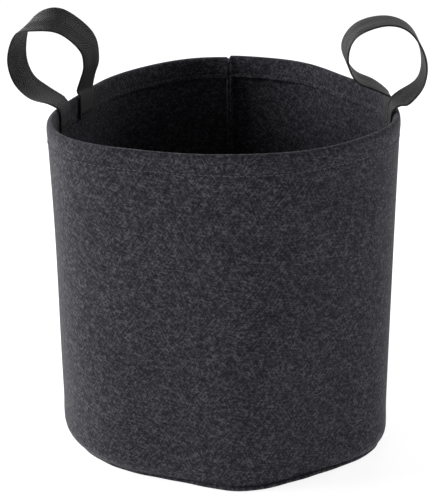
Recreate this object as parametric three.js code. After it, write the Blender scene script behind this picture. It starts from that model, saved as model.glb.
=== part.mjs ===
// Fabric grow bag: a felt tube sewn to a felt base panel, its rim folded inward as a
// hem, with two loops of webbing sewn inside the rim. Units mm, +Z up, +X right,
// -Y front. The origin is on the floor, at the middle of the base panel's underside.
import * as THREE from 'three';

// driving dimensions
const RIM_Z = 292;         // rim above the floor
const FELT = 3;            // one layer of felt
const HEM_DEPTH = 20;      // how far the rim is folded down inside
const HEM_T = 6.5;         // two layers at the hem
const STRAP_W = 25;        // webbing width
const STRAP_T = 1.6;       // webbing thickness
const GAP = 0.3;           // clearance between pieces that are sewn together
const THREAD_W = 1.2;      // thread row, width
const THREAD_T = 0.8;      // thread row, thickness
const TAIL_LOW = 264;      // lower end of each sewn webbing tail
const PIVOT_Z = 296.5;     // height at which each webbing loop bends over
const BACK_AZ = 175;       // azimuth where the back of the rim is pulled out
const SEAM_AZ = 177;       // azimuth of the side seam: 0 is the front, 90 the right
const SEAM_R = 158;        // the rim's radius at the seam
const SEAM_HALF = 2.8;     // half width of the seam's turned-in edges
const SEAM_DEEP = 9;       // how far those edges stand inward
const TURN = 7;            // how far the base panel's edge is turned in under the wall
const ROLL = 3.2;          // height of the rim's rounded top
const TACK_L = 20;         // bar of stitches across a tail, length
const TACK_H = 2.4;        // and height
const TAIL_STAND = 3.5;    // middle of a tail, off the hem's inner face
const END_GAP = 4;         // between a tail's end and the bending line
const COLUMNS = 96;        // columns of the wall
const BASE_COLUMNS = 72;   // columns of the base panel
const SPAN_STEPS = 3;      // steps between two stations of the webbing

const FOOT = FELT + GAP;   // foot of the wall, on the base panel
const FELT_COLOR = 0x38373b;
const STRAP_COLOR = 0x19191a;
const THREAD_COLOR = 0x55555a;
const FELT_ROUGH = 0.95;
const THREAD_ROUGH = 0.7;

const rad = (d) => (d * Math.PI) / 180;

// smooth bump round the plan, angles in degrees
function bump(az, at, spread) {
  const d = ((az - at + 540) % 360) - 180;
  return Math.exp(-(d * d) / (2 * spread * spread));
}

// [azimuth, spread, amount] of the soft bulges and hollows in a plan or along an edge
const RIM_PLAN = [
  [20, 16, 4.5], [45, 22, 4], [64, 12, 6], [128, 13, -8], [BACK_AZ, 22, 12],
  [248, 20, -16], [275, 14, 3], [296, 10, 4.5], [312, 14, 8.5], [345, 28, -7],
];
const RIM_EDGE = [[90, 12, -1], [140, 22, 1.2], [BACK_AZ, 26, 2], [268, 12, -1.5]];
const BASE_PLAN = [
  [6, 10, 8], [54, 12, 7], [66, 12, 8], [84, 14, -10],
  [300, 14, 6], [322, 12, 6], [330, 20, -6],
];

function shaped(level, bulges, az) {
  return bulges.reduce((sum, [at, spread, by]) => sum + by * bump(az, at, spread), level);
}

// plan of the rim: a circle, wide at the front corners, pushed in behind the left loop
function rimR(az) {
  return shaped(149, RIM_PLAN, az);
}

function rimZ(az) {
  return shaped(RIM_Z, RIM_EDGE, az);
}

// plan of the base: soft corners at the front and at both sides
function baseR(az) {
  return shaped(145, BASE_PLAN, az);
}

// 1 where the base panel's edge shows as a lip in front of the wall
function lip(az) {
  return Math.min(1, 1.15 * bump(az, 14, 26));
}

function polar(az, r, z) {
  return [r * Math.sin(rad(az)), -r * Math.cos(rad(az)), z];
}

function mesh(name, positions, index, color, roughness) {
  const g = new THREE.BufferGeometry();
  g.setAttribute('position', new THREE.Float32BufferAttribute(positions.flat(), 3));
  g.setIndex(index);
  g.computeVertexNormals();
  const m = new THREE.MeshStandardMaterial({ color, roughness, metalness: 0 });
  const out = new THREE.Mesh(g, m);
  out.name = name;
  return out;
}

// closed ring: one closed section per azimuth, counter-clockwise in (radius, z)
function ringSolid(name, azimuths, section, color, roughness) {
  const pos = [];
  const idx = [];
  let n = 0;
  azimuths.forEach((az) => {
    const pts = section(az);
    n = pts.length;
    pts.forEach(([r, z]) => pos.push(polar(az, r, z)));
  });
  const m = azimuths.length;
  for (let i = 0; i < m; i++) {
    const a = i * n;
    const b = ((i + 1) % m) * n;
    for (let k = 0; k < n; k++) {
      const q = (k + 1) % n;
      idx.push(a + k, b + k, b + q, a + k, b + q, a + q);
    }
  }
  return mesh(name, pos, idx, color, roughness);
}

// disc: sections run from the axis underneath, round the edge, to the axis on top
function discSolid(name, azimuths, section, zLow, zHigh, color, roughness) {
  const pos = [];
  const idx = [];
  let n = 0;
  azimuths.forEach((az) => {
    const pts = section(az);
    n = pts.length;
    pts.forEach(([r, z]) => pos.push(polar(az, r, z)));
  });
  const low = pos.length;
  pos.push([0, 0, zLow]);
  pos.push([0, 0, zHigh]);
  const m = azimuths.length;
  for (let i = 0; i < m; i++) {
    const a = i * n;
    const b = ((i + 1) % m) * n;
    for (let k = 0; k < n - 1; k++) {
      idx.push(a + k, b + k, b + k + 1, a + k, b + k + 1, a + k + 1);
    }
    idx.push(low, b, a);
    idx.push(low + 1, a + n - 1, b + n - 1);
  }
  return mesh(name, pos, idx, color, roughness);
}

function evenAzimuths(count) {
  return Array.from({ length: count }, (_, i) => (i * 360) / count);
}

const SEAM_ANGLE = (SEAM_HALF / SEAM_R) * (180 / Math.PI);

// the wall's columns, with close pairs at the two sides of the seam
function wallAzimuths() {
  const beside = 0.35;
  const all = evenAzimuths(COLUMNS).filter((a) => Math.abs(a - SEAM_AZ) > 2.4);
  all.push(SEAM_AZ - SEAM_ANGLE - beside, SEAM_AZ - SEAM_ANGLE, SEAM_AZ);
  all.push(SEAM_AZ + SEAM_ANGLE, SEAM_AZ + SEAM_ANGLE + beside);
  return all.sort((p, q) => p - q);
}

function atSeam(az) {
  return Math.abs(az - SEAM_AZ) < SEAM_ANGLE + 0.01;
}

// outer face of the wall at a height
function wallR(az, z) {
  const t = (z - FOOT) / (rimZ(az) - FOOT);
  const b = baseR(az) - 2 * lip(az);
  return b + (rimR(az) - b) * t;
}

function wallSection(az) {
  const top = rimZ(az);
  const tuck = 4 * (1 - lip(az));
  const fin = atSeam(az) ? SEAM_DEEP : 0;
  const hemFin = atSeam(az) ? 1.5 : 0;
  const out = (z, d) => [wallR(az, z) - d, z];
  return [
    out(FOOT, tuck),
    out(FOOT + 3, tuck * 0.35),
    out(FOOT + 9, 0),
    out(100, 0),
    out(200, 0),
    out(top - HEM_DEPTH, 0),
    out(top - ROLL, 0),
    out(top - 1, 1),
    out(top, HEM_T / 2),
    out(top - 1, HEM_T - 1),
    out(top - ROLL, HEM_T + hemFin * 0.5),
    out(top - HEM_DEPTH, HEM_T + hemFin),
    out(top - HEM_DEPTH - 0.4, FELT + fin),
    out(200, FELT + fin),
    out(100, FELT + fin),
    out(FOOT + 9, FELT + fin * 0.8),
    out(FOOT, FELT + tuck),
  ];
}

const group = new THREE.Group();
group.name = 'grow_bag';

group.add(ringSolid('side_wall', wallAzimuths(), wallSection, FELT_COLOR, FELT_ROUGH));

group.add(discSolid('base_panel', evenAzimuths(BASE_COLUMNS), (az) => {
  const r = baseR(az) - TURN * (1 - lip(az));
  return [
    [r - 1.5, 0],
    [r, 1],
    [r, FELT - 1],
    [r - 1, FELT],
  ];
}, 0, FELT, FELT_COLOR, FELT_ROUGH));

// thread row round the hem, on its inner face, with the row's middle at a given height
group.add(ringSolid('hem_stitching', evenAzimuths(COLUMNS), (az) => {
  const z = rimZ(az) - HEM_DEPTH + 3.5;
  const r = wallR(az, z) - HEM_T - GAP - (Math.abs(az - SEAM_AZ) < 4 ? 1.8 : 0);
  return [
    [r - THREAD_T, z - THREAD_W / 2],
    [r, z - THREAD_W / 2],
    [r, z + THREAD_W / 2],
    [r - THREAD_T, z + THREAD_W / 2],
  ];
}, THREAD_COLOR, THREAD_ROUGH));

// thread row that joins the wall to the base, in the inside corner
group.add(ringSolid('base_seam_stitching', evenAzimuths(BASE_COLUMNS), (az) => {
  const tuck = 4 * (1 - lip(az));
  const inner = Math.abs(az - SEAM_AZ) < 5 ? SEAM_DEEP : 0;
  const r = wallR(az, FOOT) - FELT - tuck - inner - 1.2;
  const z = FELT + GAP;
  return [
    [r - THREAD_W, z],
    [r, z],
    [r, z + THREAD_T],
    [r - THREAD_W, z + THREAD_T],
  ];
}, THREAD_COLOR, THREAD_ROUGH));

// webbing ---------------------------------------------------------------------------
const v3 = (p) => new THREE.Vector3(p[0], p[1], p[2]);

// direction of the webbing's front edge: swing turns it from the front towards the
// left, dip tilts it down, both in degrees
function frontEdge(swing, dip) {
  const s = rad(swing);
  const d = rad(dip);
  return new THREE.Vector3(
    -Math.sin(s) * Math.cos(d),
    -Math.cos(s) * Math.cos(d),
    -Math.sin(d),
  );
}

// one uniform Catmull-Rom value
function blend(a, b, c, d, t) {
  return 0.5 * (2 * b + (c - a) * t + (2 * a - 5 * b + 4 * c - d) * t * t
    + (3 * b - a - 3 * c + d) * t * t * t);
}

// stations are [x, y, z, swing, dip]; returns frames along the webbing
function route(stations, perSpan) {
  const out = [];
  const last = stations.length - 1;
  for (let i = 0; i < last; i++) {
    const a = stations[Math.max(i - 1, 0)];
    const b = stations[i];
    const c = stations[i + 1];
    const d = stations[Math.min(i + 2, last)];
    const steps = i === last - 1 ? perSpan + 1 : perSpan;
    for (let k = 0; k < steps; k++) {
      const t = k / perSpan;
      out.push(b.map((_, j) => blend(a[j], b[j], c[j], d[j], t)));
    }
  }
  return out.map((s, i) => {
    const p = v3(s);
    const before = v3(out[Math.max(i - 1, 0)]);
    const after = v3(out[Math.min(i + 1, out.length - 1)]);
    const along = after.sub(before).normalize();
    const wide = frontEdge(s[3], s[4]);
    wide.addScaledVector(along, -wide.dot(along)).normalize();
    const thick = new THREE.Vector3().crossVectors(along, wide).normalize();
    return { p, along, wide, thick };
  });
}

// webbing solid over frames; a round end is a half cylinder about the end frame
function strapSolid(name, frames, roundEnds) {
  const h = STRAP_T / 2;
  const w = STRAP_W / 2;
  const rows = [];
  const addRow = (f, s, half) => {
    const c = f.p.clone().addScaledVector(f.along, s);
    rows.push([[-w, -half], [w, -half], [w, half], [-w, half]].map(([a, b]) =>
      c.clone().addScaledVector(f.wide, a).addScaledVector(f.thick, b).toArray()));
  };
  const nose = [[-0.98, 0.2], [-0.8, 0.6], [-0.45, 0.89]];
  if (roundEnds) {
    nose.forEach(([s, k]) => addRow(frames[0], s * h, k * h));
  }
  frames.forEach((f) => addRow(f, 0, h));
  if (roundEnds) {
    const end = frames[frames.length - 1];
    nose.slice().reverse().forEach(([s, k]) => addRow(end, -s * h, k * h));
  }
  const pos = rows.flat();
  const idx = [];
  for (let i = 0; i < rows.length - 1; i++) {
    for (let k = 0; k < 4; k++) {
      const q = (k + 1) % 4;
      const a = i * 4;
      const b = a + 4;
      idx.push(a + k, a + q, b + q, a + k, b + q, b + k);
    }
  }
  const e = (rows.length - 1) * 4;
  idx.push(0, 2, 1, 0, 3, 2);
  idx.push(e, e + 1, e + 2, e, e + 2, e + 3);
  return mesh(name, pos, idx, STRAP_COLOR, 0.75);
}

// the two loops; the first and last stations lie on the loop's bending line
const LOOPS = {
  left: {
    swing: 30.1,
    front: [-142, 4],
    frontSwing: 15,
    rear: [-120, 42],
    rearSwing: 24,
    stations: [
      [-158, 18, 300, 42, 12],
      [-172, 29, 310, 40, 4],
      [-177, 33, 329, 35, -1],
      [-170, 29, 353, 23, 7],
      [-154, 21, 362, 10, 32],
      [-135, 21, 361, 10, 47],
      [-116, 32, 341, 29, 32],
      [-113, 38, 321, 30, 8],
      [-117, 41, 307, 29, 4],
    ],
  },
  right: {
    swing: -4.2,
    front: [146, -22],
    frontSwing: -3,
    rear: [144, 5],
    rearSwing: -6,
    stations: [
      [153, -19, 300, -22, 10],
      [169, -13, 314, -7, -2],
      [170, -13, 336, -3, 1],
      [158, -13, 358, 2, 2],
      [138, -12, 365, 2, 7],
      [114, -9, 357, 3, 16],
      [105, -1, 336, -10, 19],
      [114, 6, 314, -4, 12],
      [131, 7, 305, 0, 8],
    ],
  },
};

// a sewn tail's route: up the hem's inner face, then over the rim to the bending line
function tailStations(at, swing, line) {
  const az = (Math.atan2(at[0], -at[1]) * 180) / Math.PI;
  const side = Math.sign(at[0]);
  const n = [side * Math.cos(rad(swing)), -side * Math.sin(rad(swing))];
  const onFace = (z) => {
    const d = wallR((az + 360) % 360, z) - HEM_T - TAIL_STAND - Math.hypot(...at);
    return [at[0] + n[0] * d, at[1] + n[1] * d, z, swing, 0];
  };
  const top = onFace(RIM_Z - 4);
  const lean = [at[0] - top[0], at[1] - top[1]];
  const over = [top[0] + lean[0] * 0.25, top[1] + lean[1] * 0.25, RIM_Z + 1.2];
  const way = [at[0] - over[0], at[1] - over[1], PIVOT_Z - over[2]];
  const stop = 1 - END_GAP / Math.hypot(...way);
  return [
    onFace(TAIL_LOW),
    onFace(276),
    top,
    [...over, swing, 0],
    [...over.map((v, i) => v + way[i] * stop), line, 0],
  ];
}

function addHandle(side) {
  const h = LOOPS[side];
  const a = [h.front[0], h.front[1], PIVOT_Z, h.swing, 0];
  const b = [h.rear[0], h.rear[1], PIVOT_Z, h.swing, 0];
  const loop = route([a, ...h.stations, b], SPAN_STEPS);
  const line = frontEdge(h.swing, 0);
  [loop[0], loop[loop.length - 1]].forEach((f) => {
    f.wide.copy(line);
    f.along.addScaledVector(line, -f.along.dot(line)).normalize();
    f.thick.crossVectors(f.along, f.wide).normalize();
  });
  group.add(strapSolid(`${side}_handle_loop`, loop, true));
  const ends = [['front', h.front, h.frontSwing], ['rear', h.rear, h.rearSwing]];
  ends.forEach(([end, at, swing]) => {
    const frames = route(tailStations(at, swing, h.swing), SPAN_STEPS);
    group.add(strapSolid(`${side}_handle_${end}_tail`, frames, false));
    // bar of stitches across the tail, standing on its inner face
    const f = frames[SPAN_STEPS];
    const inward = f.thick.clone();
    if (inward.dot(new THREE.Vector3(f.p.x, f.p.y, 0)) > 0) {
      inward.negate();
    }
    const c = f.p.clone().addScaledVector(inward, STRAP_T / 2 + GAP + THREAD_T / 2);
    const g = new THREE.BoxGeometry(TACK_L, THREAD_T, TACK_H);
    const m = new THREE.Matrix4().makeBasis(f.wide, inward, f.wide.clone().cross(inward));
    m.setPosition(c);
    g.applyMatrix4(m);
    const look = { color: STRAP_COLOR, roughness: THREAD_ROUGH };
    const bar = new THREE.Mesh(g, new THREE.MeshStandardMaterial(look));
    bar.name = `${side}_handle_${end}_bar_tack`;
    group.add(bar);
  });
}

['left', 'right'].forEach(addHandle);

// thread row down the side seam, on one face of its turned-in edges
function seamThread() {
  const pos = [];
  const rows = [FOOT + 14, 100, 200, RIM_Z - HEM_DEPTH - 3];
  const side = SEAM_HALF + GAP + 0.4;
  rows.forEach((z) => {
    const r = wallR(SEAM_AZ, z) - FELT - 4;
    const across = polar(SEAM_AZ + 90, 1, 0);
    [[0, 0], [0, THREAD_T], [THREAD_W, THREAD_T], [THREAD_W, 0]].forEach(([a, t]) => {
      const p = polar(SEAM_AZ, r - a, z);
      pos.push([p[0] + across[0] * (side + t), p[1] + across[1] * (side + t), z]);
    });
  });
  const idx = [];
  for (let i = 0; i < rows.length - 1; i++) {
    for (let k = 0; k < 4; k++) {
      const q = (k + 1) % 4;
      const a = i * 4;
      const b = a + 4;
      idx.push(a + k, a + q, b + q, a + k, b + q, b + k);
    }
  }
  const e = (rows.length - 1) * 4;
  idx.push(0, 2, 1, 0, 3, 2);
  idx.push(e, e + 1, e + 2, e, e + 2, e + 3);
  return mesh('side_seam_stitching', pos, idx, THREAD_COLOR, THREAD_ROUGH);
}

group.add(seamThread());

export default group;
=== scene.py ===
"""Fabric grow bag: needled felt wall and base, folded and stitched rim, webbing loops."""
import math
import bpy
import numpy as np
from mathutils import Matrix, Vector

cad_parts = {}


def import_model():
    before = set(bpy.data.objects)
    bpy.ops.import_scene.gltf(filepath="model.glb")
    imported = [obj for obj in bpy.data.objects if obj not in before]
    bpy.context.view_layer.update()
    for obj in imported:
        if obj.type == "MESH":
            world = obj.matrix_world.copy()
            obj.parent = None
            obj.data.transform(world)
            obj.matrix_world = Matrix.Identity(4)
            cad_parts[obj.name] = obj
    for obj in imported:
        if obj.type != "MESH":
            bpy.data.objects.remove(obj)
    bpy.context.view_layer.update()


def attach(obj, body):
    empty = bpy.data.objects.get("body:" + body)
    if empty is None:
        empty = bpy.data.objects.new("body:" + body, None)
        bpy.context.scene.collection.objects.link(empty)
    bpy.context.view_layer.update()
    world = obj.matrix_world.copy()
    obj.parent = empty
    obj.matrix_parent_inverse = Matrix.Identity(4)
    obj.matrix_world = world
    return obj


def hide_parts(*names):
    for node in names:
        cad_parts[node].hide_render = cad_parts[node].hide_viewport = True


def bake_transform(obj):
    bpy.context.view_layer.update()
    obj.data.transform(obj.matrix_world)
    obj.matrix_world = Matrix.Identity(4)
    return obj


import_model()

MM = 0.001

# sizes in mm and azimuths in degrees, counted from the front (-Y) round by +X
RIM_Z = 292.0
RIM_LEVEL = 149.0        # mean radius of the rim, before its bulges
BASE_LEVEL = 145.0
FELT = 3.0
HEM_DEPTH = 20.0
HEM_T = 6.5
ROLL = 3.2               # height of the rolled rim
FOOT = 3.3
TUCK = 5.0               # how far the wall's foot turns under
STRAP_W = 25.0
STRAP_T = 1.6
TAIL_LOW = 271.0         # lower end of a sewn tail, just past the hem's raw edge
TAIL_GAP = 0.7           # from the hem to a tail's near face
TACK_Z = 276.0
TACK_REACH = 9.5         # half a bar tack's length
TACK_HALF = 1.15         # half its height
PIVOT_Z = 296.5
BACK_AZ = 175.0          # where the back of the rim is pulled out
SEAM_AZ = 177.0
SEAM_R = 158.0           # the rim's radius at the seam
SEAM_HALF = 2.8          # half the width of the seam's two turned-in edges
SEAM_REACH = 9.0         # how far those edges stand in
STITCH_UP = 3.5          # hem stitches above the hem's raw edge
STITCH_LINE = 16.5       # the same line, below the rim
STITCH = 3.4             # length of one stitch
THREAD_SIDES = 6


# ---------------------------------------------------------------- plan of the bag
def bump(az, at, spread):
    """A smooth bump, 1 at azimuth at and fading over spread degrees to both sides."""
    d = (np.asarray(az, float) - at + 540.0) % 360.0 - 180.0
    return np.exp(-d * d / (2.0 * spread * spread))


# (azimuth, spread, amount) of the soft bulges and hollows in a plan or along an edge
RIM_PLAN = ((20, 16, 4.5), (45, 22, 4), (64, 12, 6), (128, 13, -8), (BACK_AZ, 22, 12),
            (248, 20, -16), (275, 14, 3), (296, 10, 4.5), (312, 14, 8.5), (345, 28, -7))
RIM_EDGE = ((90, 12, -1), (140, 22, 1.2), (BACK_AZ, 26, 2), (268, 12, -1.5))
BASE_PLAN = ((6, 10, 8), (54, 12, 7), (66, 12, 8), (84, 14, -10),
             (300, 14, 6), (322, 12, 6), (330, 20, -6))


def shaped(level, bulges, az):
    """A level value with bulges and hollows added round it."""
    return level + sum(by * bump(az, at, spread) for at, spread, by in bulges)


def rim_r(az):
    return shaped(RIM_LEVEL, RIM_PLAN, az)


def rim_z(az):
    return shaped(RIM_Z, RIM_EDGE, az)


def base_r(az):
    return shaped(BASE_LEVEL, BASE_PLAN, az)


def lip(az):
    """1 where the base comes out under the wall as a lip, and 0 elsewhere."""
    return np.minimum(1.0, 1.15 * bump(az, 14, 26))


def wall_r(az, z):
    """Radius of the wall's outer face."""
    t = (z - FOOT) / (rim_z(az) - FOOT)
    b = base_r(az) - 2 * lip(az)
    return b + (rim_r(az) - b) * t


def from_seam(az):
    """Degrees from the side seam, -180 to 180."""
    return (np.asarray(az, float) - SEAM_AZ + 180.0) % 360.0 - 180.0


def polar(az, r, z):
    a = np.radians(az)
    return np.stack(np.broadcast_arrays(r * np.sin(a), -r * np.cos(a), z), axis=-1)


def wave(az, z, seed, scale, amount):
    """Slow hand-made unevenness over the wall, periodic round it."""
    gen = np.random.default_rng(seed)
    total = np.zeros(np.broadcast(az, z).shape)
    for _ in range(9):
        n = gen.integers(1, 9)
        k = gen.uniform(0.2, 1.6) / scale
        p, q = gen.uniform(0, 2 * math.pi, 2)
        total += np.sin(np.radians(az) * n + p) * np.sin(z * k + q) / (1 + 0.3 * n)
    return total * amount


# ---------------------------------------------------------------- mesh helpers
def make_mesh(name, verts, faces, material, uvs=None, corner_uvs=None):
    """A smooth mesh from mm; its UVs, in mm, are given by vertex or by face corner."""
    me = bpy.data.meshes.new(name)
    me.from_pydata((np.asarray(verts) * MM).tolist(), [], faces)
    me.polygons.foreach_set("use_smooth", [True] * len(me.polygons))
    if uvs is not None:
        of_corner = np.empty(len(me.loops), int)
        me.loops.foreach_get("vertex_index", of_corner)
        corner_uvs = np.asarray(uvs)[of_corner]
    if corner_uvs is not None:
        layer = me.uv_layers.new(name="UVMap")
        layer.data.foreach_set("uv", np.asarray(corner_uvs, np.float32).ravel())
    me.materials.append(material)
    ob = bpy.data.objects.new(name, me)
    bpy.context.scene.collection.objects.link(ob)
    return ob


def ring_faces(m, n):
    """Quads of a closed grid, m stations round and n points in each closed section."""
    out = []
    for i in range(m):
        a, b = i * n, ((i + 1) % m) * n
        for k in range(n):
            q = (k + 1) % n
            out.append((a + k, b + k, b + q, a + q))
    return out


def ring_uvs(u, v):
    """Corner UVs for ring_faces: u has m + 1 values round and v has n + 1 along."""
    m, n = len(u) - 1, len(v) - 1
    grid = np.empty((m, n, 4, 2))
    grid[:, :, (0, 3), 0] = u[:-1, None, None]
    grid[:, :, (1, 2), 0] = u[1:, None, None]
    grid[:, :, (0, 1), 1] = v[None, :-1, None]
    grid[:, :, (2, 3), 1] = v[None, 1:, None]
    return grid.reshape(-1, 2)


def tube_faces(m, n):
    """Quads of an open run of m closed sections of n points, with both end caps."""
    out = []
    for i in range(m - 1):
        a, b = i * n, (i + 1) * n
        for k in range(n):
            q = (k + 1) % n
            out.append((a + k, a + q, b + q, b + k))
    out.append(tuple(range(n - 1, -1, -1)))
    out.append(tuple(range((m - 1) * n, m * n)))
    return out


# ---------------------------------------------------------------- materials
def node(nt, kind, **values):
    """A node with inputs set by name, or else its own settings."""
    n = nt.nodes.new(kind)
    for key, value in values.items():
        if key in n.inputs:
            n.inputs[key].default_value = value
        else:
            setattr(n, key, value)
    return n


def new_material(name):
    m = bpy.data.materials.new(name)
    m.use_nodes = True
    nt = m.node_tree
    nt.nodes.clear()
    out = nt.nodes.new("ShaderNodeOutputMaterial")
    bsdf = nt.nodes.new("ShaderNodeBsdfPrincipled")
    nt.links.new(bsdf.outputs[0], out.inputs[0])
    return m, nt, bsdf


def ramp(nt, source, stops):
    """A colour ramp; a stop's value is a colour or a single grey level."""
    r = nt.nodes.new("ShaderNodeValToRGB")
    el = r.color_ramp.elements
    while len(el) < len(stops):
        el.new(0.5)
    for e, (pos, col) in zip(el, stops):
        e.position = pos
        e.color = (*col, 1) if len(col) == 3 else (col[0], col[0], col[0], 1)
    nt.links.new(source, r.inputs[0])
    return r


def calc(nt, kind, *values):
    """A Math node of numbers or sockets; gives its output socket."""
    n = node(nt, "ShaderNodeMath", operation=kind)
    for i, x in enumerate(values):
        if isinstance(x, (int, float)):
            n.inputs[i].default_value = float(x)
        else:
            nt.links.new(x, n.inputs[i])
    return n.outputs[0]


def felt_material(name, dark, mid, light):
    """Needled felt: short matted fibres lying three ways, with paler ones on top."""
    m, nt, bsdf = new_material(name)
    link = nt.links.new
    uv = nt.nodes.new("ShaderNodeUVMap")

    def fibres(turn, along, across, offset):
        place = node(nt, "ShaderNodeMapping")
        place.inputs["Location"].default_value = (offset, offset * 0.37, offset)
        place.inputs["Rotation"].default_value = (0, 0, math.radians(turn))
        link(uv.outputs[0], place.inputs[0])
        squeeze = node(nt, "ShaderNodeMapping")
        squeeze.inputs["Scale"].default_value = (along, across, 1)
        link(place.outputs[0], squeeze.inputs[0])
        nz = node(nt, "ShaderNodeTexNoise", Scale=1.0, Detail=2.0, Roughness=0.6,
                  Distortion=0.25)
        link(squeeze.outputs[0], nz.inputs["Vector"])
        return nz.outputs["Fac"]

    lay_a = fibres(8, 0.16, 0.62, 3.0)
    lay_b = fibres(63, 0.18, 0.66, 11.0)
    lay_c = fibres(-52, 0.17, 0.64, 29.0)
    specks = fibres(0, 0.85, 0.85, 47.0)
    clump = fibres(20, 0.07, 0.09, 71.0)
    cloud = fibres(0, 0.016, 0.022, 5.0)
    mat_sum = calc(nt, "ADD", calc(nt, "ADD", lay_a, lay_b), lay_c)
    on_top = calc(nt, "MAXIMUM", calc(nt, "MAXIMUM", lay_a, lay_b), lay_c)
    fine = calc(nt, "MULTIPLY_ADD", mat_sum, 0.22, calc(nt, "MULTIPLY", on_top, 0.18))
    fine = calc(nt, "MULTIPLY_ADD", specks, 0.16, fine)
    tone = calc(nt, "MULTIPLY_ADD", clump, 0.10, calc(nt, "ADD", fine, -0.05))
    colour = ramp(nt, tone, [(0.405, dark), (0.505, mid), (0.60, light)])
    slow = ramp(nt, cloud, [(0.3, (0.90,)), (0.7, (1.10,))])
    mul = node(nt, "ShaderNodeMix", data_type="RGBA", blend_type="MULTIPLY")
    mul.inputs["Factor"].default_value = 1.0
    link(colour.outputs[0], mul.inputs["A"])
    link(slow.outputs[0], mul.inputs["B"])
    link(mul.outputs["Result"], bsdf.inputs["Base Color"])
    bp = node(nt, "ShaderNodeBump", Strength=0.9, Distance=0.0016)
    link(tone, bp.inputs["Height"])
    link(bp.outputs[0], bsdf.inputs["Normal"])
    rough = ramp(nt, fine, [(0.4, (0.88,)), (0.6, (1.0,))])
    link(rough.outputs[0], bsdf.inputs["Roughness"])
    bsdf.inputs["Specular IOR Level"].default_value = 0.2
    bsdf.inputs["Sheen Weight"].default_value = 0.16
    bsdf.inputs["Sheen Roughness"].default_value = 0.35
    bsdf.inputs["Sheen Tint"].default_value = (0.9, 0.9, 0.95, 1)
    return m


def webbing_material(name):
    """Herringbone webbing: bands of slanted picks and a dark selvedge, in UVs of mm."""
    m, nt, bsdf = new_material(name)
    link = nt.links.new
    uv = nt.nodes.new("ShaderNodeUVMap")
    sep = nt.nodes.new("ShaderNodeSeparateXYZ")
    link(uv.outputs[0], sep.inputs[0])
    across, along = sep.outputs[0], sep.outputs[1]
    turn = 2 * math.pi
    band, pick, yarn = 6.25, 2.1, 0.8

    zig = calc(nt, "PINGPONG", calc(nt, "ADD", across, STRAP_W / 2), band)
    slant = calc(nt, "MULTIPLY_ADD", zig, 1.0, along)
    picks = calc(nt, "SINE", calc(nt, "MULTIPLY", slant, turn / pick))
    warp = calc(nt, "SINE", calc(nt, "MULTIPLY", across, turn / yarn))
    weave = calc(nt, "MULTIPLY_ADD", picks, 0.45, 0.5)
    weave = calc(nt, "MULTIPLY_ADD", warp, 0.10, weave)
    co = nt.nodes.new("ShaderNodeTexCoord")
    fuzz = node(nt, "ShaderNodeTexNoise", Scale=700, Detail=3)
    link(co.outputs["Object"], fuzz.inputs["Vector"])
    weave = calc(nt, "ADD", weave, calc(nt, "MULTIPLY_ADD", fuzz.outputs["Fac"], 0.4, -0.2))
    from_edge = calc(nt, "SUBTRACT", STRAP_W / 2, calc(nt, "ABSOLUTE", across))
    edge = node(nt, "ShaderNodeMapRange", interpolation_type="SMOOTHSTEP")
    edge.inputs["From Min"].default_value = 0.3
    edge.inputs["From Max"].default_value = 1.5
    edge.inputs["To Min"].default_value = 0.35
    link(from_edge, edge.inputs["Value"])
    height = calc(nt, "MULTIPLY", weave, edge.outputs[0])
    colour = ramp(nt, height, [(0.1, (0.0032, 0.0032, 0.0035)), (0.5, (0.0115, 0.0115, 0.012)),
                               (0.95, (0.044, 0.044, 0.046))])
    link(colour.outputs[0], bsdf.inputs["Base Color"])
    bp = node(nt, "ShaderNodeBump", Strength=0.7, Distance=0.0006)
    link(height, bp.inputs["Height"])
    link(bp.outputs[0], bsdf.inputs["Normal"])
    rough = ramp(nt, weave, [(0.1, (0.75,)), (0.9, (0.5,))])
    link(rough.outputs[0], bsdf.inputs["Roughness"])
    bsdf.inputs["Specular IOR Level"].default_value = 0.4
    bsdf.inputs["Sheen Weight"].default_value = 0.04
    bsdf.inputs["Sheen Roughness"].default_value = 0.4
    return m


def thread_material(name, dark, light):
    """Twisted sewing thread."""
    m, nt, bsdf = new_material(name)
    co = nt.nodes.new("ShaderNodeTexCoord")
    wv = node(nt, "ShaderNodeTexWave", Scale=900, Distortion=2.0)
    nt.links.new(co.outputs["Object"], wv.inputs["Vector"])
    col = ramp(nt, wv.outputs["Fac"], [(0.2, dark), (0.8, light)])
    nt.links.new(col.outputs[0], bsdf.inputs["Base Color"])
    bp = node(nt, "ShaderNodeBump", Strength=0.5, Distance=0.0002)
    nt.links.new(wv.outputs["Fac"], bp.inputs["Height"])
    nt.links.new(bp.outputs[0], bsdf.inputs["Normal"])
    bsdf.inputs["Roughness"].default_value = 0.6
    bsdf.inputs["Sheen Weight"].default_value = 0.15
    return m


FELT_MAT = felt_material("felt_charcoal", (0.0075, 0.0072, 0.0100), (0.0252, 0.0245, 0.0312),
                         (0.086, 0.084, 0.096))
WEB_MAT = webbing_material("webbing_black")
THREAD_MAT = thread_material("thread_grey", (0.03, 0.03, 0.034), (0.075, 0.075, 0.083))
TACK_MAT = thread_material("thread_black", (0.006, 0.006, 0.007), (0.02, 0.02, 0.022))


# ---------------------------------------------------------------- felt wall
def seam_fin(az):
    """1 on the seam's turned-in edges and 0 beside them."""
    side = np.abs(from_seam(az)) * math.pi / 180 * SEAM_R
    return np.clip((SEAM_HALF + 0.1 - side) / 0.5, 0, 1)


def wall_azimuths():
    """Azimuths from the seam round to the seam, close together at the turned-in edges."""
    coarse = np.arange(2.0, 358.5, 1.0)
    near = np.array([0.06, 0.25, 0.5, 0.8, 0.93, 1.02, 1.12, 1.4, 1.7])
    return SEAM_AZ + np.concatenate([[0.0], near, coarse, 360.0 - near[::-1]])


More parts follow.
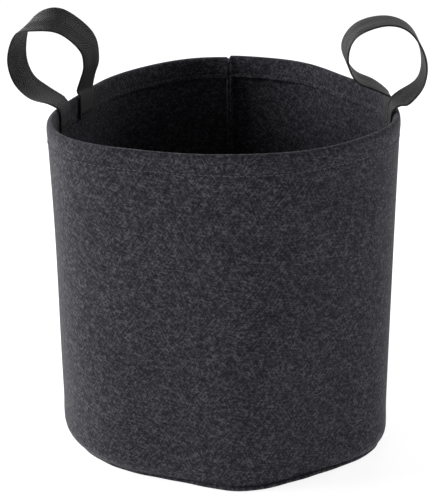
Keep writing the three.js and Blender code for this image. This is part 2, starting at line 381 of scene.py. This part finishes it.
def wall_profile():
    """Points round the wall's section: (height from the rim or foot, depth, where)."""
    pts = []
    for z in (0.0, 0.6, 1.6, 3.0, 5.0, 7.5, 10.5):
        pts.append(("foot", z, 0.0, "out"))
    for t in np.linspace(0.045, 0.905, 88):
        pts.append(("mid", t, 0.0, "out"))
    for d in (26, 24.2, 22.5, 20.8, 19.2, 17.8, 16.9, 16.5, 16.1, 15.2, 13.8, 12, 10, 8,
              6.4, 5.2):
        pts.append(("rim", d, 0.0, "out"))
    for a in np.linspace(0, 180, 15):
        s, c = math.sin(math.radians(a)), math.cos(math.radians(a))
        pts.append(("rim", (ROLL + 0.6) * (1 - s), HEM_T / 2 * (1 - c), "fold"))
    for d in (5.2, 6.4, 8, 10, 12, 13.8, 15.2, 16.1, 16.5, 16.9, 17.8, 18.8, 19.5):
        pts.append(("rim", d, HEM_T, "hem"))
    for d, depth in ((19.9, HEM_T - 0.5), (20.1, HEM_T - 1.5), (20.2, FELT + 0.9)):
        pts.append(("rim", d, depth, "hem"))
    for d in (20.6, 21.6, 23.5, 26):
        pts.append(("rim", d, FELT, "in"))
    for t in np.linspace(0.905, 0.045, 60):
        pts.append(("mid", t, FELT, "in"))
    for z in (10.5, 7.0, 4.0, 1.5, 0.4):
        pts.append(("foot", z, FELT, "in"))
    pts.append(("foot", 0.0, FELT - 0.4, "in"))
    return pts


def build_wall():
    """One closed felt shell: outer face, rolled rim, hem, inner face and seam edges."""
    az = wall_azimuths()
    lp = lip(az)
    top = rim_z(az) + wave(az, az * 0.0 + 3.0, 4, 40.0, 0.45)
    off = from_seam(az)
    half_seam = np.exp(-(off / 0.5) ** 2)
    # the seam's two edges end at slightly different heights, with a notch between
    step = -0.65 * np.tanh(off * 4.5) * np.exp(-(off / 9.0) ** 2)
    top = top + step - 1.4 * np.exp(-((off - 0.3) / 0.45) ** 2)
    cols = []
    for kind, v, depth, where in wall_profile():
        if kind == "foot":
            z = FOOT + v + 0 * az
        elif kind == "mid":
            z = FOOT + (top - FOOT) * v
        else:
            z = top - v
        r = wall_r(az, np.minimum(z, rim_z(az)))
        t = (z - FOOT) / (RIM_Z - FOOT)
        # foot of the wall turns under, except where the base shows as a lip
        turn = np.clip(1 - (z - FOOT) / 11.0, 0, 1)
        tuck = turn ** 2.2 * (TUCK * (1 - lp) + 0.7 * lp)
        swell = 1.3 * np.exp(-((z - FOOT - 13) / 12.0) ** 2) * (1 - 0.5 * lp)
        dents = wave(az, z, 11, 60.0, 0.55) * np.sin(np.clip(t, 0, 1) * math.pi) ** 0.5
        d = depth + tuck - swell * 0.6 - dents
        if where in ("out", "fold", "hem"):
            # the hem's stitches draw both faces in
            line = np.exp(-((top - z - STITCH_LINE) / 1.1) ** 2)
            if where == "out":
                d = d + 0.45 * line
                d = d - 0.35 * np.clip(1 - np.abs(top - z - 8) / 9.0, 0, 1)
            elif where == "hem":
                d = d - 0.75 * line
                d = d + wave(az, z * 0 + 9, 5, 30.0, 0.25)
        if where == "hem":
            # free hang of the raw edge, and soft folds that lie across the hem
            loose = np.clip((top - z - STITCH_LINE) / STITCH_UP, 0, 1)
            d = d + loose * (0.5 + 0.5 * np.sin(np.radians(az) * 23 + 1.0)) * 0.7
            crease = bump(az, 116, 0.65) + 0.7 * bump(az, 97.5, 0.55)
            d = d + 1.1 * crease * np.clip(1 - np.abs(top - z - 10) / 10, 0, 1)
        if where == "in":
            # the seam's two turned-in edges, with the line where they meet
            fin = seam_fin(az)
            rise = np.clip((z - FOOT) / 8.0, 0.0, 1.0) * 0.25 + 0.75
            split = 1 - 0.12 * np.exp(-(off / 0.09) ** 2)
            wob = 1 + 0.06 * np.sin(z / 17.0) + 0.04 * np.sin(z / 6.1)
            d = d + SEAM_REACH * fin * rise * split * wob
        elif where == "hem":
            d = d + 1.6 * np.exp(-(off / 1.8) ** 2) - 1.2 * half_seam
        else:
            d = d + 0.9 * half_seam
        cols.append(polar(az, r - d, z))
    grid = np.stack(cols, axis=1)
    m, n = grid.shape[:2]
    girth = np.concatenate([az, [az[0] + 360.0]]) * math.pi / 180 * rim_r(0.0)
    section = np.concatenate([grid[m // 2], grid[m // 2, :1]])
    height = np.concatenate([[0], np.cumsum(np.linalg.norm(np.diff(section, axis=0), axis=1))])
    ob = make_mesh("wall_felt", grid.reshape(-1, 3), ring_faces(m, n), FELT_MAT,
                   corner_uvs=ring_uvs(girth, height))
    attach(ob, "bag")
    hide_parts("side_wall")
    return ob


# ---------------------------------------------------------------- felt base
def build_base():
    """The felt base, with its rounded cut edge and a slightly uneven upper face."""
    az = np.arange(0, 360, 2.0)
    lp = lip(az)
    edge = base_r(az) + 0.2 * np.sin(np.radians(az) * 31) - 6.4 * (1 - lp)
    shares = (0.04, 0.15, 0.3, 0.45, 0.6, 0.75, 0.88, 0.95)
    cut_edge = ((-1.6, 0.0), (-0.7, 0.12), (-0.15, 0.6), (0.0, 1.5), (-0.2, 2.3),
                (-0.8, 2.85), (-1.8, 3.0))
    rows = [polar(az, edge * f, 0.0) for f in shares]
    rows += [polar(az, edge + dr, z) for dr, z in cut_edge]
    for f in shares[::-1]:
        sag = wave(az, f * 90 + 0 * az, 8, 20.0, 0.12)
        rows.append(polar(az, edge * f, FELT + sag * (1 - f)))
    grid = np.stack(rows, axis=1)
    m, n = grid.shape[:2]
    faces = []
    for i in range(m):
        a, b = i * n, ((i + 1) % m) * n
        for k in range(n - 1):
            faces.append((a + k, b + k, b + k + 1, a + k + 1))
    faces.append(tuple(i * n for i in range(m))[::-1])
    faces.append(tuple(i * n + n - 1 for i in range(m)))
    points = grid.reshape(-1, 3)
    ob = make_mesh("base_felt", points, faces, FELT_MAT, uvs=points[:, :2])
    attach(ob, "bag")
    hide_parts("base_panel")
    return ob


# ---------------------------------------------------------------- stitches
def thread_ring(centre, a, b, radius):
    """Points of one oval section of thread, a and b being its half axes' directions."""
    turns = [2 * math.pi * j / THREAD_SIDES for j in range(THREAD_SIDES)]
    return [centre + radius * (math.cos(t) * a + math.sin(t) * b) for t in turns]


def stitch_row(name, path, normals, gap, radius, stands_for=None):
    """Short rounded stitches along a path in mm; each dives into the cloth at its ends."""
    s = np.concatenate([[0], np.cumsum(np.linalg.norm(np.diff(path, axis=0), axis=1))])
    lift = np.array([-0.55, 0.12, 0.34, 0.40, 0.34, 0.12, -0.55]) * radius * 2
    girths = (0.6, 0.95, 1.0, 1.0, 1.0, 0.95, 0.6)
    gen = np.random.default_rng(len(path))
    verts, faces = [], []
    at = 0.0
    while at + STITCH < s[-1]:
        ts = np.linspace(at, at + STITCH + gen.normal(0, 0.12), len(lift))
        pts = np.stack([np.interp(ts, s, path[:, i]) for i in range(3)], axis=1)
        nor = np.stack([np.interp(ts, s, normals[:, i]) for i in range(3)], axis=1)
        nor /= np.linalg.norm(nor, axis=1, keepdims=True)
        pts = pts + nor * lift[:, None]
        tan = np.gradient(pts, axis=0)
        tan /= np.linalg.norm(tan, axis=1, keepdims=True)
        side = np.cross(tan, nor)
        side /= np.linalg.norm(side, axis=1, keepdims=True)
        up = np.cross(side, tan)
        first = len(verts)
        for p, a, b, w in zip(pts, side, up, girths):
            verts += thread_ring(p, 1.25 * a, 0.8 * b, radius * w)
        faces += [tuple(first + v for v in f) for f in tube_faces(len(lift), THREAD_SIDES)]
        at += STITCH + gap
    ob = make_mesh(name, verts, faces, THREAD_MAT)
    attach(ob, "bag")
    if stands_for:
        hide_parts(stands_for)
    return ob


def hem_stitches():
    """The hem's row, seen in the groove on the inside and again on the outside."""
    az = np.arange(0, 360.5, 0.75)
    z = rim_z(az) - HEM_DEPTH + STITCH_UP
    outward = polar(az, 1.0, 0.0)
    inner = polar(az, wall_r(az, z) - HEM_T + 0.65, z)
    stitch_row("hem_stitches_inside", inner, -outward, 1.1, 0.42, "hem_stitching")
    outer = polar(az, wall_r(az, z) - 0.15, z)
    stitch_row("hem_stitches_outside", outer, outward, 1.1, 0.36)


def base_stitches():
    """The base seam's row, on the base beside the wall, broken at the side seam."""
    az = np.arange(0, 360.5, 0.75)
    az = az[np.abs(from_seam(az)) > 2.5]
    lp = lip(az)
    r = wall_r(az, FOOT) - FELT - TUCK * (1 - lp) - 1.9
    path = polar(az, r, FELT + 0.25)
    up = np.tile([0.0, 0.0, 1.0], (len(az), 1))
    stitch_row("base_stitches", path, up, 1.2, 0.4, "base_seam_stitching")


def seam_stitches():
    """The side seam's row, on one face of its turned-in edges."""
    z = np.linspace(FOOT + 12, RIM_Z - HEM_DEPTH - 2, 120)
    across = polar(SEAM_AZ + 90, 1.0, 0.0)
    r = wall_r(SEAM_AZ, z) - FELT - 4.2
    path = polar(SEAM_AZ, r, z) + across * (SEAM_HALF - 0.05)
    normals = np.tile(across, (len(z), 1))
    stitch_row("side_seam_stitches", path, normals, 1.1, 0.4, "side_seam_stitching")


# ---------------------------------------------------------------- webbing
def front_edge(swing, dip):
    """Direction across the ribbon to its front edge, turned by swing and tipped by dip."""
    s, d = math.radians(swing), math.radians(dip)
    return np.array([-math.sin(s) * math.cos(d), -math.cos(s) * math.cos(d), -math.sin(d)])


# ends: where the strap leaves the rim; stations: x, y, z and the edge's swing and dip
LOOPS = {
    "left": {
        "swing": 30.1,
        "ends": ((-142, 4), (-120, 42)),
        "stations": [
            (-158, 18, 300, 42, 12),
            (-172, 29, 310, 40, 4),
            (-177, 33, 329, 35, -1),
            (-170, 29, 353, 23, 7),
            (-154, 21, 362, 10, 32),
            (-135, 21, 361, 10, 47),
            (-116, 32, 341, 29, 32),
            (-113, 38, 321, 30, 8),
            (-117, 41, 307, 29, 4),
        ],
    },
    "right": {
        "swing": -4.2,
        "ends": ((146, -22), (144, 5)),
        "stations": [
            (153, -19, 300, -22, 10),
            (169, -13, 314, -7, -2),
            (170, -13, 336, -3, 1),
            (158, -13, 358, 2, 2),
            (138, -12, 365, 2, 7),
            (114, -9, 357, 3, 16),
            (105, -1, 336, -10, 19),
            (114, 6, 314, -4, 12),
            (131, 7, 305, 0, 8),
        ],
    },
}


def tail_stations(at):
    """The sewn tail's stations, from its low end up the hem's inner face."""
    az = math.degrees(math.atan2(at[0], -at[1])) % 360
    side = math.copysign(1, at[0])
    slope = float(wall_r(az + 1, 282) - wall_r(az - 1, 282)) / math.radians(2)
    facing = math.radians(az) - math.atan(slope / float(wall_r(az, 282)))
    n = (math.sin(facing), -math.cos(facing))
    swing = math.degrees(math.atan2(-side * n[1], side * n[0]))

    def on_face(z):
        d = float(wall_r(az, z)) - HEM_T - TAIL_GAP - STRAP_T / 2 - math.hypot(*at)
        return (at[0] + n[0] * d, at[1] + n[1] * d, z, swing, 0)

    top = on_face(288)
    over = (top[0] + (at[0] - top[0]) * 0.25, top[1] + (at[1] - top[1]) * 0.25,
            RIM_Z + 1.2, swing, 0)
    return [on_face(TAIL_LOW), on_face(276), on_face(282), top, over]


def spline(points, step):
    """Catmull-Rom curve through the stations, eased, and sampled evenly in length."""
    p = np.asarray(points, float)
    fine = []
    for i in range(len(p) - 1):
        a, b = p[max(i - 1, 0)], p[i]
        c, d = p[i + 1], p[min(i + 2, len(p) - 1)]
        for t in np.linspace(0, 1, 30, endpoint=False):
            fine.append(0.5 * (2 * b + (c - a) * t + (2 * a - 5 * b + 4 * c - d) * t * t
                               + (3 * b - a - 3 * c + d) * t ** 3))
    fine.append(p[-1])
    fine = np.array(fine)
    for _ in range(25):                       # ease kinks between stations
        fine[1:-1] += 0.25 * (fine[:-2] - 2 * fine[1:-1] + fine[2:])
    s = np.concatenate([[0], np.cumsum(np.linalg.norm(np.diff(fine[:, :3], axis=0), axis=1))])
    count = int(s[-1] / step) + 1
    even = np.linspace(0, s[-1], count)
    return np.stack([np.interp(even, s, fine[:, i]) for i in range(5)], axis=1), even


def strap_section():
    """Half-round edges and a slightly crowned face: (across, up) in mm."""
    w, h = STRAP_W / 2, STRAP_T / 2
    top = [(w - 0.15, 0.35 * h), (w - 0.5, 0.8 * h), (w - 1.1, 1.0 * h),
           (w - 2.2, 0.92 * h)]
    mid = [(x, h * 0.95) for x in (8, 5, 2, -2, -5, -8)]
    left = [(-x, y) for x, y in reversed(top)]
    upper = top + mid + left
    lower = [(x, -y) for x, y in reversed(upper)]
    return [(w, 0)] + upper + [(-w, 0)] + lower


def bar_tack(side, end, point, wide, thick):
    """Dense zigzag of thread across the webbing, on the tail's inner face."""
    inward = -thick if thick[:2] @ point[:2] > 0 else thick
    up = np.cross(wide, inward)
    centre = point + inward * (STRAP_T / 2 + 0.25)
    count = 52
    path = np.array([centre + wide * TACK_REACH * (2 * i / count - 1)
                     + up * (TACK_HALF if i % 2 else -TACK_HALF)
                     for i in range(count + 1)])
    tan = np.gradient(path, axis=0)
    tan /= np.linalg.norm(tan, axis=1, keepdims=True)
    verts = []
    for p, t in zip(path, tan):
        a = np.cross(t, inward)
        verts += thread_ring(p, a / np.linalg.norm(a), inward, 0.3)
    ob = make_mesh(f"{side}_{end}_bar_tack", verts, tube_faces(len(path), THREAD_SIDES),
                   TACK_MAT)
    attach(ob, "bag")
    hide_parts(f"{side}_handle_{end}_bar_tack")


def build_handle(side):
    """One continuous webbing ribbon, and its two bar tacks."""
    spec = LOOPS[side]
    front, rear = spec["ends"]
    up = tail_stations(front)
    down = tail_stations(rear)[::-1]
    line = spec["swing"]
    pts = (up + [(front[0], front[1], PIVOT_Z, line, 0)] + spec["stations"]
           + [(rear[0], rear[1], PIVOT_Z, line, 0)] + down)
    run, s = spline(pts, 1.5)
    pos = run[:, :3]
    along = np.gradient(pos, axis=0)
    along /= np.linalg.norm(along, axis=1, keepdims=True)
    wide = np.array([front_edge(a, b) for a, b in run[:, 3:]])
    wide -= along * np.sum(wide * along, axis=1, keepdims=True)
    wide /= np.linalg.norm(wide, axis=1, keepdims=True)
    thick = np.cross(along, wide)
    sec = strap_section()
    verts, uvs = [], []
    for p, w, t, d in zip(pos, wide, thick, s):
        verts += [p + w * a + t * b for a, b in sec]
        uvs += [(a, d) for a, b in sec]
    ob = make_mesh(f"{side}_handle_webbing", verts, tube_faces(len(pos), len(sec)),
                   WEB_MAT, uvs=uvs)
    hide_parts(f"{side}_handle_loop", f"{side}_handle_front_tail",
                f"{side}_handle_rear_tail")
    half = len(pos) // 2
    for end, zone in (("front", range(half)), ("rear", range(half, len(pos)))):
        i = min(zone, key=lambda q: abs(pos[q][2] - TACK_Z))
        bar_tack(side, end, pos[i], wide[i], thick[i])
    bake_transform(ob)


# ---------------------------------------------------------------- build
wall = build_wall()
base = build_base()
hem_stitches()
base_stitches()
seam_stitches()
build_handle("left")
build_handle("right")


# ---------------------------------------------------------------- studio
FLOOR_GLOW = 0.85
SKY = 0.12
HORIZON = 0.85
LAMPS = (
    # name, location, size, power in watts
    ("key_left", (-1.5, 0.0, 0.95), (0.9, 1.1), 24.0),
    ("back_left", (-1.3, 0.9, 0.6), (0.6, 1.0), 12.0),
    ("low_left", (-1.4, -1.0, 0.5), (0.8, 0.8), 1.5),
    ("back_right", (1.4, 0.7, 0.8), (0.8, 1.0), 9.0),
    ("high_back", (0.1, 1.1, 1.4), (1.0, 0.6), 7.0),
)


def floor():
    """A pale floor that glows a little, so that it stays plain to its far edge."""
    mat, nt, bsdf = new_material("studio_floor")
    bsdf.inputs["Base Color"].default_value = (0.38, 0.38, 0.38, 1)
    bsdf.inputs["Roughness"].default_value = 0.8
    bsdf.inputs["Specular IOR Level"].default_value = 0.1
    bsdf.inputs["Emission Color"].default_value = (1, 1, 1, 1)
    bsdf.inputs["Emission Strength"].default_value = FLOOR_GLOW
    me = bpy.data.meshes.new("floor")
    far, low = 30.0, -0.0003      # metres; just under the base, so the two never flicker
    corners = [(-far, -far, low), (far, -far, low), (far, far, low), (-far, far, low)]
    me.from_pydata(corners, [], [(0, 1, 2, 3)])
    me.materials.append(mat)
    ob = bpy.data.objects.new("floor", me)
    bpy.context.scene.collection.objects.link(ob)


def area_light(name, location, size, power):
    data = bpy.data.lights.new(name, "AREA")
    data.shape = "RECTANGLE"
    data.size, data.size_y = size
    data.energy = power
    ob = bpy.data.objects.new(name, data)
    ob.location = location
    aim = Vector((0, 0, 0.15)) - Vector(location)
    ob.rotation_euler = aim.to_track_quat("-Z", "Y").to_euler()
    bpy.context.scene.collection.objects.link(ob)


def world():
    """A dim even sky that grows brighter towards the horizon."""
    w = bpy.data.worlds.new("studio")
    w.use_nodes = True
    nt = w.node_tree
    back = nt.nodes["Background"]
    co = nt.nodes.new("ShaderNodeTexCoord")
    sep = nt.nodes.new("ShaderNodeSeparateXYZ")
    nt.links.new(co.outputs["Generated"], sep.inputs[0])
    up = calc(nt, "ABSOLUTE", sep.outputs[2])
    band = calc(nt, "POWER", calc(nt, "SUBTRACT", 1.0, up), 6.0)
    nt.links.new(calc(nt, "MULTIPLY_ADD", band, HORIZON, SKY), back.inputs["Strength"])
    back.inputs["Color"].default_value = (1, 1, 1, 1)
    bpy.context.scene.world = w


def studio():
    world()
    for lamp in LAMPS:
        area_light(*lamp)
    bpy.context.scene.view_settings.view_transform = "Standard"


def camera():
    data = bpy.data.cameras.new("camera")
    data.sensor_fit = "AUTO"
    data.sensor_width = 36
    data.lens = 119.06
    ob = bpy.data.objects.new("camera", data)
    ob.location = (0.0, -1.3563, 0.6770)
    ob.rotation_euler = [math.radians(a) for a in (69.14, 0.91, -0.06)]
    bpy.context.scene.collection.objects.link(ob)
    bpy.context.scene.camera = ob


floor()
studio()
camera()
